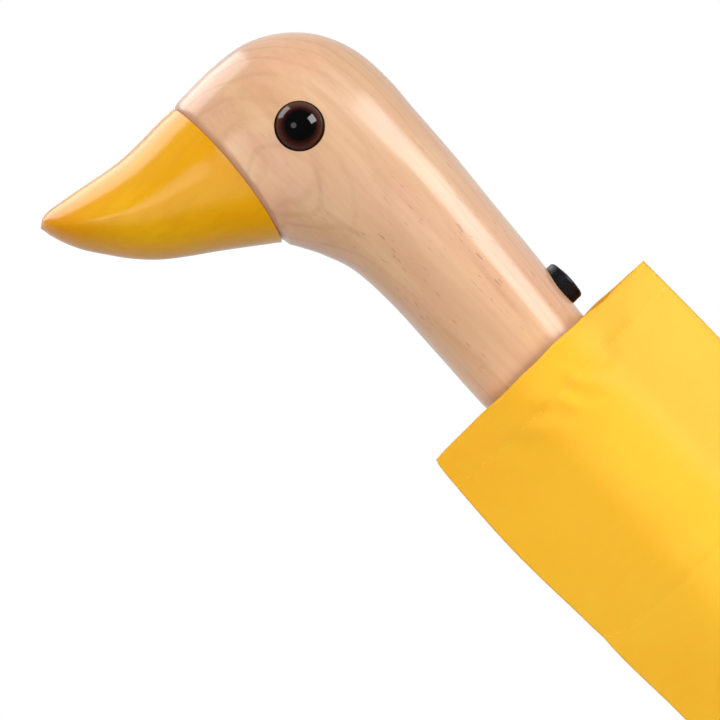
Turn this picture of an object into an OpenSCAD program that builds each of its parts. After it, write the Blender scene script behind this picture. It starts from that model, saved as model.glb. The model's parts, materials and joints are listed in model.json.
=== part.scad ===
// Children's folding umbrella with a carved duck's-head handle, closed and in its fabric sleeve.
// The shaft lies along Z with the head at the top; the origin is on the shaft axis, level with
// the push button. The bill points along -X and the button faces +X. Millimetres.

/* [Handle] */
// Diameter of the glass eyes
eye_d = 12; // [10:0.5:13]
// Diameter of the push button
button_d = 10.6; // [8:0.2:12]
// How far the button travels when pressed
button_travel = 2.5; // [1:0.5:2.5]

/* [Shaft] */
// Outer diameter of the fixed shaft tube
tube_d = 11; // [10.6:0.1:11.4]
// Wall thickness of the shaft tubes
tube_wall = 0.5; // [0.4:0.05:0.6]

/* [Frame] */
// Height of the crown's rib hinges
crown_z = -207; // [-209:1:-205]
// Distance from the crown hinge to the rib's fold
main_rib_len = 171; // [168:1:171]
// Length of the outer rib beyond the fold
outer_rib_len = 164; // [150:1:164]
// Distance from the crown hinge to the stretcher's pivot on the rib
stretcher_pivot = 70; // [60:1:75]
// Length of a stretcher between its pivots
stretcher_len = 85; // [80:1:90]

/* [Fabric] */
// Outer radius of the wrapped canopy
bundle_r = 20.8; // [20:0.1:21]
// Width of the sleeve, lying flat
sleeve_w = 71; // [66:0.5:74]
// Depth of the sleeve across the bundle
sleeve_depth = 47; // [46:0.5:52]
// Height of the sleeve's mouth
sleeve_top = -10.2; // [-14:0.2:-8]
// Height of the sleeve's closed end
sleeve_bottom = -225; // [-228:1:-225]

/* [Hidden] */
rib_count = 6;
RIB_KINDS = ["main_rib", "outer_rib", "rib_tip", "stretcher", "gore_upper", "gore_lower"];
$fn = 64;

wood = [0.86, 0.68, 0.50];
bill_yellow = [0.93, 0.66, 0.07];
cloth_yellow = [0.98, 0.76, 0.17];
steel = [0.75, 0.76, 0.78];
black = [0.05, 0.05, 0.05];
eye_brown = [0.16, 0.05, 0.03];

// Cross-sections of the neck and head, each cut between a point on the front and one on the
// back: [front x, front z, back x, back z, half width, roundness]. They fan round the throat.
neck_sections = [
    [-15.6, -26, 15.1, -26, 15.2, 2],
    [-16.4, -9, 15.9, -9, 15.8, 2],
    [-15.9, 8, 17.6, 8, 16.1, 2],
    [-15.5, 24, 18.9, 25, 16.4, 2],
    [-16.4, 36, 20.1, 40, 16.7, 2],
    [-19.1, 43.7, 20.8, 54.1, 17.0, 2],
    [-21.2, 47.8, 21.3, 64.1, 17.4, 2],
    [-22.6, 50.2, 20.3, 74.2, 17.7, 2.05],
    [-23.4, 51.5, 16.4, 83.2, 17.8, 2.1],
    [-23.8, 52.5, 9.8, 89.9, 17.7, 2.1],
    [-24.1, 52.9, 1.5, 93.9, 17.4, 2.1],
    [-24.4, 53.0, -9.0, 95.0, 17.0, 2.1],
    [-24.6, 53.0, -20.5, 94.2, 16.4, 2.1]];
// The same for the bill, from the seam to just short of its tip.
bill_sections = [
    [-24.6, 53.0, -20.5, 94.2, 16.2, 2.1],
    [-29.8, 57.0, -26.5, 94.3, 15.3, 2.0],
    [-36.5, 61.8, -32.4, 94.0, 14.2, 1.9],
    [-42.9, 66.1, -38.4, 94.0, 13.0, 1.8],
    [-48.5, 70.3, -43.8, 94.6, 12.0, 1.7],
    [-53.3, 75.2, -48.4, 95.4, 11.0, 1.65],
    [-57.1, 80.2, -52.6, 96.1, 9.9, 1.65],
    [-60.2, 84.7, -56.6, 96.7, 8.3, 1.7],
    [-62.5, 89.0, -59.9, 96.9, 6.2, 1.8],
    [-64.0, 92.5, -62.4, 96.5, 3.4, 2.0]];
bill_tip = [-64.6, 0, 95.3];
ring_points = 40;
section_steps = 3;
neck_bottom = neck_sections[0][1];

// Places of the small parts of the handle.
eye_x = -3.6;
eye_z = 69.9;
eye_base_y = 13.6;
eye_rim_y = 16.6;
eye_top_y = 20.6;
iris_thick = 0.6;
button_z = -0.6;
button_face_x = 19.9;
button_seat_x = 11.5;
button_dome = 0.5;
button_rim = 0.9;
button_gap = 0.3;
button_stem_r = 2;
button_back_x = button_seat_x + button_travel + 0.4;
stem_gap = 0.1;
stem_hole_r = button_stem_r + 0.5;
guide_depth = 3;
guide_floor = 1;
spring_turns = 3.5;
spring_wire_r = 0.35;
spring_r = button_stem_r + 0.9;
spring_steps = 42;
spring_sides = 8;
dowel_r = 4;
dowel_len = 24;
dowel_x = -22.5;
dowel_z = 74;
dowel_tilt = 95.7;
socket_top = 28;
pin_z = 24;
pin_r = 1.25;
pin_half = 12;
collar_h = 5;
collar_r = 13;
collar_taper = 1.5;
// How far a cutter runs past the face that it cuts.
past = 1;

// Tubes: each slides in the one outside it with a running clearance.
slide_gap = 0.1;
tube_r = tube_d / 2;
middle_r = tube_r - tube_wall - slide_gap;
inner_r = middle_r - tube_wall - slide_gap;
outer_tube_z = [-196, 26];
middle_tube_z = [-198.5, 21];
inner_tube_z = [crown_z + 2, 16];

// Frame: rib hinges sit on one circle, and every rib lies in its own radial plane.
first_rib_angle = 30;
hinge_r = 9;
fold_offset = 2;
fold_r = hinge_r + fold_offset;
fold_z = crown_z + main_rib_len;
rib_h = 2.4;
rib_w = 2;
rib_groove = 1.2;
rib_web = 4;
outer_line_r = hinge_r + 2 * fold_offset;
outer_rib_h = 2;
outer_rib_w = 1.8;
tip_r = 1.5;
tip_len = 2.5;
eye_r = 1.4;
rib_pin_r = 0.55;
pin_gap = 0.05;
fork_plate = 0.6;
fork_in = 1.05;
fork_len = 9;
fork_edge = 1.2;
stretcher_w = 1.4;
stretcher_h = 2;
stretcher_side = 2.5;
slot_gap = 0.3;
slot_back = 2.2;

// Crown, cap and runner
crown_r = 10.4;
crown_top = crown_z + 4;
crown_bottom = crown_z - 4;
crown_pin_half = 2.6;
cap_bottom = sleeve_bottom + 1.4;
cap_r = crown_r + 2.4;
cap_band = 2;
cap_foot_r = 4.6;
runner_hinge_z = crown_z + stretcher_pivot + stretcher_len;
runner_r = 7.4;
runner_below = 8;
runner_above = 6;
runner_flange_r = 10.6;
runner_flange = 4;
runner_gap = 0.25;
runner_pin = [stretcher_side - 0.9, stretcher_side + 2.2];
runner_pin_hole = [stretcher_side - 1.6, stretcher_side + 2.6];

// Cloth
cloth_t = 0.8;
canopy_in_r = 15.6;
canopy_z = [crown_z - 6, neck_bottom - collar_h - 3];
strap_z = -78;
strap_w = 14;
strap_t = 0.7;
strap_gap = 0.05;
strap_r = bundle_r + strap_gap;
stud_r = 4.5;
stud_x = [bundle_r + 0.3 + strap_t, bundle_r + 2.2 + strap_t];
seam_ribbon_w = 1.6;
seam_ribbon_end = 12;
upper_ribbon_r = [hinge_r + 1.4, hinge_r + 1.9];
lower_ribbon_r = [hinge_r + 2.15, hinge_r + 2.65];
pouch_steps = 14;

// ---- Lofting: a smooth curve through the sections, then a closed skin over its rings ----
function spline(a, b, c, d, t) =
    0.5 * (2 * b + (c - a) * t + (2 * a - 5 * b + 4 * c - d) * t * t
           + (3 * b - a - 3 * c + d) * t * t * t);
function smoothed(s) =
    let (last = len(s) - 1)
    concat([for (i = [0 : last - 1], k = [0 : section_steps - 1])
                spline(s[max(i - 1, 0)], s[i], s[i + 1], s[min(i + 2, last)], k / section_steps)],
           [s[last]]);
function bent(c, n) = sign(c) * pow(abs(c), 2 / n);
function ring(s) =
    let (mid = [(s[0] + s[2]) / 2, 0, (s[1] + s[3]) / 2], half = [(s[2] - s[0]) / 2, 0, (s[3] - s[1]) / 2])
    [for (k = [0 : ring_points - 1])
        let (a = 360 * k / ring_points)
        mid + half * bent(cos(a), s[5]) + [0, s[4] * bent(sin(a), s[5]), 0]];

module skin(sections, tip = undef) {
    rings = [for (s = sections) ring(s)];
    n = ring_points;
    last = len(rings) - 1;
    points = concat([for (r = rings, p = r) p], is_undef(tip) ? [] : [tip]);
    sides = [for (i = [0 : last - 1], k = [0 : n - 1], half = [0, 1])
        let (a = i * n + k, b = i * n + (k + 1) % n, c = a + n, d = b + n)
        half == 0 ? [a, b, d] : [a, d, c]];
    start = [[for (k = [n - 1 : -1 : 0]) k]];
    end = is_undef(tip)
        ? [[for (k = [0 : n - 1]) last * n + k]]
        : [for (k = [0 : n - 1]) [last * n + k, last * n + (k + 1) % n, (last + 1) * n]];
    polyhedron(points = points, faces = concat(start, sides, end), convexity = 6);
}

module tube(r, wall, z) {
    translate([0, 0, z[0]]) difference() {
        cylinder(r = r, h = z[1] - z[0]);
        translate([0, 0, -1]) cylinder(r = r - wall, h = z[1] - z[0] + 2);
    }
}

// A cylinder along +X from x0 to x1 at height z
module along_x(r, x0, x1, z) { translate([x0, 0, z]) rotate([0, 90, 0]) cylinder(r = r, h = x1 - x0); }
// A cylinder along +Y from y0 to y1
module along_y(r, y0, y1, x = 0, z = 0) {
    translate([x, y0, z]) rotate([-90, 0, 0]) cylinder(r = r, h = y1 - y0);
}
module at_rib(i) { rotate([0, 0, first_rib_angle + (i - 1) * 360 / rib_count]) children(); }
module dowel_hole(extra = 0) {
    translate([dowel_x, 0, dowel_z]) rotate([0, -dowel_tilt, 0])
        cylinder(r = dowel_r, h = dowel_len + extra, center = true);
}

// ---- Handle ----
module head() {
    out = button_face_x + 2 * past;
    color(wood) difference() {
        skin(smoothed(neck_sections));
        translate([0, 0, neck_bottom - past]) cylinder(r = tube_r, h = socket_top - neck_bottom + past);
        along_x(button_d / 2 + button_gap, button_seat_x - guide_depth, out, button_z);
        along_x(stem_hole_r, 0, out, button_z);
        along_y(pin_r, -pin_half, pin_half, 0, pin_z);
        for (side = [0, 1]) mirror([0, side, 0])
            along_y(eye_d / 2, eye_base_y - iris_thick, 2 * eye_top_y, eye_x, eye_z);
        dowel_hole();
    }
}
module bill() {
    color(bill_yellow) difference() {
        skin(smoothed(bill_sections), bill_tip);
        dowel_hole();
    }
}
module bill_dowel() { color(wood) dowel_hole(-1); }
// Glass dome with a short straight rim that sits in a pocket of the head
module eye(side) {
    dome_h = eye_top_y - eye_rim_y;
    dome_r = (pow(eye_d / 2, 2) + dome_h * dome_h) / (2 * dome_h);
    color(eye_brown) translate([eye_x, 0, eye_z]) rotate([side * -90, 0, 0]) union() {
        translate([0, 0, eye_base_y]) cylinder(d = eye_d, h = eye_rim_y - eye_base_y);
        translate([0, 0, eye_rim_y]) intersection() {
            cylinder(d = eye_d, h = dome_h);
            translate([0, 0, dome_h - dome_r]) sphere(r = dome_r);
        }
    }
}
module iris(side) {
    color(eye_brown) translate([eye_x, 0, eye_z]) rotate([side * -90, 0, 0])
        translate([0, 0, eye_base_y - iris_thick]) cylinder(d = eye_d, h = iris_thick);
}
module outer_tube() {
    color(steel) difference() {
        tube(tube_r, tube_wall, outer_tube_z);
        along_x(stem_hole_r, 0, tube_r + past, button_z);
        along_y(pin_r, -tube_r - past, tube_r + past, 0, pin_z);
    }
}
module tube_pin() { color(steel) along_y(pin_r, -pin_half, pin_half, 0, pin_z); }
module foot_collar() {
    color(black) translate([0, 0, neck_bottom - collar_h]) difference() {
        cylinder(r1 = collar_r - collar_taper, r2 = collar_r, h = collar_h);
        translate([0, 0, -past]) cylinder(r = tube_r, h = collar_h + 2 * past);
    }
}
module button_guide() {
    inner_x = button_seat_x - guide_depth;
    color(black) difference() {
        along_x(button_d / 2 + button_gap, inner_x, button_seat_x, button_z);
        along_x(button_stem_r + stem_gap, inner_x - past, button_seat_x + past, button_z);
        along_x(spring_r + 2.5 * spring_wire_r, inner_x + guide_floor, button_seat_x + past, button_z);
    }
}
// Domed cap with a softened rim, on a stem that reaches to just short of the tube
module button() {
    cap = button_d / 2;
    stem_x = tube_r + button_travel + 0.3;
    shoulder_x = button_face_x - button_dome - button_rim;
    color(black) translate([0, 0, button_z]) rotate([0, 90, 0]) rotate_extrude() polygon(concat(
        [[0, stem_x], [button_stem_r, stem_x], [button_stem_r, button_back_x], [cap, button_back_x]],
        [for (a = [0 : 15 : 90]) [cap - button_rim * (1 - cos(a)), shoulder_x + button_rim * sin(a)]],
        [[cap / 2, button_face_x - button_dome / 4], [0, button_face_x]]));
}
module button_spring() {
    z0 = button_seat_x - guide_depth + guide_floor + spring_wire_r + 0.1;
    z1 = button_back_x - spring_wire_r - 0.15;
    n = spring_sides;
    rings = [for (k = [0 : spring_steps])
        let (a = 360 * spring_turns * k / spring_steps,
             c = [spring_r * cos(a), spring_r * sin(a), z0 + (z1 - z0) * k / spring_steps])
        [for (j = [0 : n - 1])
            let (b = 360 * j / n)
            c + spring_wire_r * cos(b) * [cos(a), sin(a), 0] + spring_wire_r * sin(b) * [0, 0, 1]]];
    color(steel) translate([0, 0, button_z]) rotate([0, 90, 0]) polyhedron(
        points = [for (r = rings, p = r) p],
        faces = concat(
            [[for (j = [0 : n - 1]) j]],
            [for (k = [0 : spring_steps - 1], j = [0 : n - 1])
                let (a = k * n + j, b = k * n + (j + 1) % n) [b, a, a + n, b + n]],
            [[for (j = [n - 1 : -1 : 0]) spring_steps * n + j]]),
        convexity = 8);
}

// ---- Telescopic shaft and crown ----
module middle_tube() { color(steel) tube(middle_r, tube_wall, middle_tube_z); }
module inner_tube() { color(steel) tube(inner_r, tube_wall, inner_tube_z); }
module crown() {
    h = crown_top - crown_bottom;
    color(black) difference() {
        translate([0, 0, crown_bottom]) cylinder(r = crown_r, h = h);
        translate([0, 0, inner_tube_z[0]]) cylinder(r = inner_r, h = h);
        for (i = [1 : rib_count]) at_rib(i) {
            translate([hinge_r - slot_back, -rib_w / 2 - slot_gap, crown_z - slot_back])
                cube([2 * slot_back + past, rib_w + 2 * slot_gap, h]);
            along_y(rib_pin_r, -crown_pin_half, crown_pin_half, hinge_r, crown_z);
        }
    }
}
module crown_pins() {
    color(steel) for (i = [1 : rib_count]) at_rib(i)
        along_y(rib_pin_r, -crown_pin_half, crown_pin_half, hinge_r, crown_z);
}
module crown_cap() {
    h = crown_bottom - cap_bottom;
    shoulder = cap_r - cap_foot_r - 0.8;
    color(black) translate([0, 0, cap_bottom]) rotate_extrude() polygon(concat(
        [[0, h], [cap_r, h], [cap_r, h - cap_band]],
        [for (a = [15 : 15 : 75])
            [cap_r - shoulder * (1 - cos(a)), h - cap_band - (h - cap_band - 1.4) * sin(a)]],
        [[cap_foot_r + 1.4, 1.2], [cap_foot_r, 0], [0, 0]]));
}
// The wrapped canopy: a thick sleeve of folded cloth, gathered under the crown and open at the handle end
module canopy() {
    low = canopy_z[0];
    high = canopy_z[1];
    color(cloth_yellow) rotate_extrude() polygon([
        [canopy_in_r - 2.6, low], [canopy_in_r + 1, low], [bundle_r - 1.2, low + 8],
        [bundle_r, low + 40], [bundle_r, high - 40], [bundle_r - 1.4, high - 6],
        [bundle_r - 2.6, high], [canopy_in_r, high], [canopy_in_r, low + 12],
        [canopy_in_r - 2.6, low + 4]]);
}
module tie_strap() {
    color(cloth_yellow) tube(strap_r + strap_t, strap_t, [strap_z - strap_w / 2, strap_z + strap_w / 2]);
}
module strap_stud() { color(steel) along_x(stud_r, stud_x[0], stud_x[1], strap_z); }

// ---- Runner ----
module runner() {
    h = runner_below + runner_above;
    color(black) difference() {
        union() {
            translate([0, 0, runner_hinge_z - runner_below]) cylinder(r = runner_r, h = h);
            translate([0, 0, runner_hinge_z - runner_flange / 2])
                cylinder(r = runner_flange_r, h = runner_flange);
        }
        translate([0, 0, runner_hinge_z - h]) cylinder(r = tube_r + runner_gap, h = 2 * h);
        for (i = [1 : rib_count]) at_rib(i) {
            translate([runner_r + 0.05, -rib_w / 2 - slot_gap, runner_hinge_z - h])
                cube([runner_flange_r, rib_w / 2 + stretcher_side + stretcher_w / 2 + 2 * slot_gap, 2 * h]);
            along_y(rib_pin_r, runner_pin_hole[0], runner_pin_hole[1], hinge_r, runner_hinge_z);
        }
    }
}
module runner_pins() {
    color(steel) for (i = [1 : rib_count]) at_rib(i)
        along_y(rib_pin_r, runner_pin[0], runner_pin[1], hinge_r, runner_hinge_z);
}

// ---- Ribs, each drawn in the plane of its own angle ----
// Channel with an eye at the crown, a fork at the fold and the fold's rivet
module main_rib(i) {
    start = crown_z + rib_h;
    inner_x = hinge_r - rib_h / 2;
    fork_foot = fold_z - fork_len;
    color(black) at_rib(i) {
        difference() {
            union() {
                translate([inner_x, -rib_w / 2, crown_z]) cube([rib_h, rib_w, main_rib_len - 3]);
                along_y(eye_r, -rib_w / 2, rib_w / 2, hinge_r, crown_z);
            }
            along_y(rib_pin_r + pin_gap, -rib_w, rib_w, hinge_r, crown_z);
            translate([hinge_r - rib_h, -rib_groove / 2, start + rib_web])
                cube([rib_h + 0.5, rib_groove, fork_foot - 5 - start]);
        }
        for (side = [0, 1]) mirror([0, side, 0]) difference() {
            translate([inner_x, fork_in, fork_foot])
                cube([fold_r + fork_edge - inner_x, fork_plate, fork_len + eye_r]);
            along_y(rib_pin_r, 0, 3, fold_r, fold_z);
        }
        translate([inner_x, -fork_in, fork_foot]) cube([rib_h, 2 * fork_in, fork_len * 0.6]);
        along_y(rib_pin_r, -fork_in - fork_plate, fork_in + fork_plate, fold_r, fold_z);
    }
}
// Square rod folded back outside the main rib, its eye on the fold's rivet
module outer_rib(i) {
    rod_x = outer_line_r - outer_rib_h / 2;
    color(black) at_rib(i) difference() {
        union() {
            translate([rod_x, -outer_rib_w / 2, fold_z - outer_rib_len])
                cube([outer_rib_h, outer_rib_w, outer_rib_len]);
            along_y(eye_r, -outer_rib_w / 2, outer_rib_w / 2, fold_r, fold_z);
            translate([fold_r, -outer_rib_w / 2, fold_z - eye_r])
                cube([rod_x + outer_rib_h - fold_r, outer_rib_w, 2 * eye_r]);
        }
        along_y(rib_pin_r + pin_gap, -outer_rib_w, outer_rib_w, fold_r, fold_z);
    }
}
module rib_tip(i) {
    color(black) at_rib(i) translate([outer_line_r, 0, fold_z - outer_rib_len - 0.05]) rotate([180, 0, 0]) {
        cylinder(r = tip_r, h = tip_len);
        translate([0, 0, tip_len]) sphere(r = tip_r);
    }
}
module stretcher(i) {
    near = stretcher_side - stretcher_w / 2;
    far = stretcher_side + stretcher_w / 2;
    color(black) at_rib(i) difference() {
        union() {
            translate([hinge_r - stretcher_h / 2, near, runner_hinge_z - stretcher_len])
                cube([stretcher_h, stretcher_w, stretcher_len]);
            for (z = [runner_hinge_z, runner_hinge_z - stretcher_len]) along_y(eye_r, near, far, hinge_r, z);
        }
        for (z = [runner_hinge_z, runner_hinge_z - stretcher_len])
            along_y(rib_pin_r + pin_gap, near - past, far + past, hinge_r, z);
    }
}
// Seam ribbons: the doubled edges of each gore, which lie along the ribs when it is folded
module ribbon(i, r) {
    low = crown_z + seam_ribbon_end;
    high = fold_z - seam_ribbon_end;
    color(cloth_yellow) at_rib(i)
        translate([r[0], -seam_ribbon_w / 2, low]) cube([r[1] - r[0], seam_ribbon_w, high - low]);
}
module gore_upper(i) { ribbon(i, upper_ribbon_r); }
module gore_lower(i) { ribbon(i, lower_ribbon_r); }

// ---- Sleeve ----
// A flat tube drawn tight over a round bundle: two arcs joined by straight flanks to a fold on each side
function pouch(w, r) =
    let (fold = acos(2 * r / w), arc = 180 - 2 * fold)
    [for (side = [1, -1], k = [0 : pouch_steps + 1])
        k == 0 ? [side * w / 2, 0]
               : let (a = fold + arc * (k - 1) / pouch_steps) side * r * [cos(a), sin(a)]];
module sleeve() {
    h = sleeve_top - sleeve_bottom;
    r = sleeve_depth / 2;
    color(cloth_yellow) translate([0, 0, sleeve_bottom]) difference() {
        linear_extrude(h) polygon(pouch(sleeve_w, r));
        translate([0, 0, cloth_t]) linear_extrude(h) polygon(pouch(sleeve_w - 3 * cloth_t, r - cloth_t));
    }
}

head();
bill();
bill_dowel();
eye(-1);  // eye_left
eye(1);  // eye_right
iris(-1);  // iris_left
iris(1);  // iris_right
outer_tube();
tube_pin();
foot_collar();
button_guide();
button();
button_spring();
middle_tube();
inner_tube();
crown();
crown_pins();
crown_cap();
canopy();
tie_strap();
strap_stud();
runner();
runner_pins();
sleeve();
for (i = [1 : rib_count]) {
    main_rib(i);
    outer_rib(i);
    rib_tip(i);
    stretcher(i);
    gore_upper(i);
    gore_lower(i);
}
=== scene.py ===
"""Looks of a children's folding umbrella with a carved duck's-head handle, in its yellow sleeve.

Metres throughout, in the frame's own axes: +Z along the shaft towards the head, the bill along -X,
the push button on +X. Sizes written in millimetres are multiplied by MM.
"""

import json
import math

import bmesh
import bpy
import numpy as np
from mathutils import Matrix, Vector

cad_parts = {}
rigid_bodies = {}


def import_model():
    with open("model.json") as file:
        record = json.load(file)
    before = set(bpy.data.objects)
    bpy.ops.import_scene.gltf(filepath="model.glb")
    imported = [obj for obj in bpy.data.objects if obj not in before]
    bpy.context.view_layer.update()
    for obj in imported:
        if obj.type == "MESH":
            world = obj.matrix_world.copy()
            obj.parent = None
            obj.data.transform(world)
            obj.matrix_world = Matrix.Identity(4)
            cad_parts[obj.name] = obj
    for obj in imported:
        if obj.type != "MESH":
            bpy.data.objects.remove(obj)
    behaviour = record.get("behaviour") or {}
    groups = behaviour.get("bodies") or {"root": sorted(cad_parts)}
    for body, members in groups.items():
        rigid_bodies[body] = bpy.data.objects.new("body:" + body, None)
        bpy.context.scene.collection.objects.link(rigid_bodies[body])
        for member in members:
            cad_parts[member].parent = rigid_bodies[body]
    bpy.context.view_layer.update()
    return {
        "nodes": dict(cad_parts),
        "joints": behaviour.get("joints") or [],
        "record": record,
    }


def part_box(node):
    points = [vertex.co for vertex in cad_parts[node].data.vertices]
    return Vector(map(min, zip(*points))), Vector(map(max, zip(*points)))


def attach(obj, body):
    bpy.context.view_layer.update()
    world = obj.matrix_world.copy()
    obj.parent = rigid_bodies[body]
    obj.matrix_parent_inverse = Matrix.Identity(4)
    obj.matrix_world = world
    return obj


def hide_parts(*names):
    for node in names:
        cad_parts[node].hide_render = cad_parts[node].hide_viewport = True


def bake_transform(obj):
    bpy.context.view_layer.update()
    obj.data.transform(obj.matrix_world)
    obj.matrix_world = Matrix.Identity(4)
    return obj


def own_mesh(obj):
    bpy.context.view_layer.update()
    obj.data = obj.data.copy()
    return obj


MM = 0.001
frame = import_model()
nodes = frame["nodes"]
joints = {j["name"]: j for j in frame["joints"]}
joint_above = {j["child"]: j for j in frame["joints"]}
couplings = {c["joint"]: c for c in frame["record"]["behaviour"]["couplings"]}
RIBS = range(1, 7)


# ---- meshes

def corners(node):
    """A CAD node's lowest and highest corners at rest."""
    return (Vector(corner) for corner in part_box(node))


def make_mesh(name, points, faces, material, body, closed=True):
    """A new smooth piece from points in metres, riding on a body (or left free when body is None).

    A closed piece gets its faces turned outward.
    """
    mesh = bpy.data.meshes.new(name)
    mesh.from_pydata([tuple(p) for p in points], [], faces)
    mesh.validate()
    mesh.shade_smooth()
    if closed:
        work = bmesh.new()
        work.from_mesh(mesh)
        bmesh.ops.recalc_face_normals(work, faces=work.faces)
        work.to_mesh(mesh)
        work.free()
    piece = bpy.data.objects.new(name, mesh)
    bpy.context.scene.collection.objects.link(piece)
    mesh.materials.append(material)
    if body is not None:
        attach(piece, body)
    return piece


def ring_faces(rings, around, closed_around=True, first=0):
    """Quads between successive rings of points, numbered from first."""
    faces = []
    for r in range(rings - 1):
        for k in range(around if closed_around else around - 1):
            a = first + r * around + k
            b = first + r * around + (k + 1) % around
            faces.append((a, b, b + around, a + around))
    return faces


def capped_faces(rings, around, first=0):
    """The faces of a closed tube: quads between its rings, and a flat face at each end."""
    last = first + (rings - 1) * around
    return [*ring_faces(rings, around, True, first), tuple(range(first, first + around))[::-1],
            tuple(range(last, last + around))]


def bore(piece, radius, start, end):
    """Cuts a round hole into a piece, from start to end."""
    axis = Vector(end) - Vector(start)
    bpy.ops.mesh.primitive_cylinder_add(vertices=64, radius=radius, depth=axis.length,
                                        location=(Vector(start) + Vector(end)) / 2)
    cutter = bpy.context.object
    cutter.rotation_mode = "QUATERNION"
    cutter.rotation_quaternion = axis.to_track_quat("Z", "Y")
    step = piece.modifiers.new("cut", "BOOLEAN")
    step.object = cutter
    step.operation = "DIFFERENCE"
    step.solver = "EXACT"
    final = bpy.data.meshes.new_from_object(piece.evaluated_get(bpy.context.evaluated_depsgraph_get()))
    piece.modifiers.clear()
    piece.data = final
    bpy.data.objects.remove(cutter)


def sharpen(piece, degrees):
    """Smooth shading that breaks at edges sharper than this."""
    piece.data.shade_smooth()
    with bpy.context.temp_override(object=piece, selected_objects=[piece], active_object=piece,
                                   selected_editable_objects=[piece]):
        bpy.ops.object.shade_smooth_by_angle(angle=math.radians(degrees))


def lathe(name, profile, place, axis, material, body, sides=64):
    """A profile of (radius, height) points turned about an axis from a place."""
    turn = Vector(axis).to_track_quat("Z", "Y").to_matrix()
    points = []
    for radius, height in profile:
        for k in range(sides):
            a = 2 * math.pi * k / sides
            local = Vector((radius * math.cos(a), radius * math.sin(a), height))
            points.append(Vector(place) + turn @ local)
    return make_mesh(name, points, capped_faces(len(profile), sides), material, body)


def mark(piece, name, values):
    """Stores a number or a vector for each vertex, for a material to read."""
    values = np.asarray(values, np.float32)
    kind, field = ("FLOAT", "value") if values.ndim == 1 else ("FLOAT_VECTOR", "vector")
    piece.data.attributes.new(name, kind, "POINT").data.foreach_set(field, values.ravel())


# ---- materials

class Shader:
    """A new material or world, with short calls for its nodes."""

    def __init__(self, name, kind="materials", surface="Principled BSDF", **settings):
        self.made = getattr(bpy.data, kind).new(name)
        self.made.use_nodes = True
        self.tree = self.made.node_tree
        self.surface = self.tree.nodes[surface]
        for socket, value in settings.items():
            self.surface.inputs[socket.replace("_", " ")].default_value = value

    def node(self, kind, inputs=None, **properties):
        made = self.tree.nodes.new("ShaderNode" + kind)
        for key, value in properties.items():
            setattr(made, key, value)
        for key, value in (inputs or {}).items():
            self.set(made.inputs[key], value)
        return made

    def set(self, socket, value):
        if isinstance(value, bpy.types.NodeSocket):
            self.tree.links.new(value, socket)
        else:
            socket.default_value = value

    def into(self, socket, value):
        self.set(self.surface.inputs[socket], value)

    def place(self):
        """The point being shaded, in the piece's own metres."""
        return self.node("TexCoord").outputs["Object"]

    def stretched(self, vector, scale, turn=(0, 0, 0)):
        return self.node("Mapping", {"Vector": vector, "Scale": scale, "Rotation": turn}).outputs["Vector"]

    def grain(self, vector, scale, detail=3.0, roughness=0.55, turn=(0, 0, 0)):
        """Noise with its own scale along each axis."""
        return self.noise(self.stretched(vector, scale, turn), 1.0, detail, roughness)

    def noise(self, vector, scale, detail=3.0, roughness=0.55, distortion=0.0):
        made = self.node("TexNoise", {"Vector": vector, "Scale": scale, "Detail": detail,
                                      "Roughness": roughness, "Distortion": distortion})
        return made.outputs["Fac"]

    def ramp(self, factor, stops):
        made = self.node("ValToRGB", {"Fac": factor})
        ramp = made.color_ramp
        while len(ramp.elements) < len(stops):
            ramp.elements.new(0.5)
        for element, (position, color) in zip(ramp.elements, stops):
            element.position = position
            element.color = (*color, 1)
        return made.outputs["Color"]

    def span(self, factor, low, high, to_low=0.0, to_high=1.0, course="LINEAR"):
        """A change from to_low to to_high as the factor goes from low to high."""
        made = self.node("MapRange", {"Value": factor, "From Min": low, "From Max": high, "To Min": to_low,
                                      "To Max": to_high}, interpolation_type=course)
        return made.outputs["Result"]

    def math(self, operation, a, b=0.0):
        return self.node("Math", {0: a, 1: b}, operation=operation).outputs["Value"]

    def mix(self, factor, a, b):
        """A blend of two colours, each a socket or three numbers."""
        a, b = (v if isinstance(v, bpy.types.NodeSocket) else (*v, 1) for v in (a, b))
        return self.node("Mix", {0: factor, 6: a, 7: b}, data_type="RGBA").outputs[2]

    def stain(self, tone, color, factor, low, high, most):
        """A tone with a screen colour over it, none where the factor is low and most where it is high."""
        return self.mix(self.span(factor, low, high, 0.0, most), tone, linear(*color))

    def attribute(self, name):
        return self.node("Attribute", attribute_name=name)

    def bump(self, height, strength, distance):
        made = self.node("Bump", {"Height": height, "Strength": strength, "Distance": distance})
        self.into("Normal", made.outputs["Normal"])


def linear(*screen):
    """Screen colour from 0 to 255 as linear light."""
    shares = [v / 255 for v in screen]
    return tuple(v / 12.92 if v <= 0.04045 else ((v + 0.055) / 1.055) ** 2.4 for v in shares)


CHEEK_SWIRL = (-15 * MM, 0, 62 * MM)     # where the growth rings close up, on each cheek


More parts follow.
